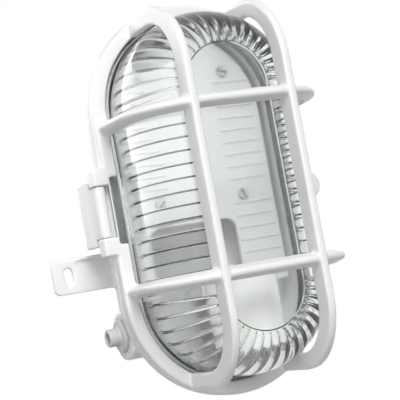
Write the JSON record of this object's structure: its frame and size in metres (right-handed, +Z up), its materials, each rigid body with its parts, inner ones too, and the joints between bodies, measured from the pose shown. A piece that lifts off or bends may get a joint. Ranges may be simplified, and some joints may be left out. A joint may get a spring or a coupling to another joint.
{
  "type": "bulkhead light",
  "caption": "Oval wall bulkhead light: moulded tray with fixing ears, ribbed glass diffuser, and a hinged bar guard held by a lever latch.",
  "frame": {"origin": "centre of the oval on the tray's back face, against the wall", "axes": "+Y into the wall, +Z up along the lamp's length, +X to the right as seen from the front"},
  "size_m": [0.174, 0.096, 0.216],
  "materials": {
    "white_plastic": "satin white moulded plastic",
    "gasket_rubber": "matt dark rubber",
    "grommet_rubber": "matt pale grey rubber",
    "zinc_steel": "bright zinc plate",
    "porcelain": "glazed white ceramic",
    "brass": "plain brass",
    "reflector_white": "white enamel",
    "terminal_plastic": "natural polyamide",
    "brown_insulation": "brown lead insulation",
    "blue_insulation": "blue lead insulation",
    "clear_glass": "clear pressed glass"
  },
  "bodies": {
    "base": {"base_tray": "white_plastic", "sealing_gasket": "gasket_rubber", "cable_grommet": "grommet_rubber", "lampholder_bracket": "zinc_steel", "bracket_screws": "zinc_steel", "lampholder_body": "porcelain", "lampholder_shell": "brass", "centre_contact": "brass", "lampholder_screws": "zinc_steel", "reflector_plate": "reflector_white", "reflector_screws": "zinc_steel", "terminal_block": "terminal_plastic", "terminal_sleeves": "brass", "terminal_screws": "zinc_steel", "terminal_fixing_screw": "zinc_steel", "live_lead": "brown_insulation", "neutral_lead": "blue_insulation", "hinge_pins": "zinc_steel"},
    "guard": {"guard_cage": "white_plastic", "glass_diffuser": "clear_glass", "latch_pin": "zinc_steel"},
    "latch": {"latch_lever": "white_plastic"}
  },
  "joints": [
    {"name": "cage_hinge", "type": "hinge", "parent": "base", "child": "guard", "pos_m": [0.0632, -0.0245, 0], "axis": [0, 0, 1], "range_deg": [0, 110]},
    {"name": "latch_pivot", "type": "hinge", "parent": "guard", "child": "latch", "pos_m": [-0.062, -0.03, 0], "axis": [0, 0, 1], "range_deg": [0, 65]}
  ]
}
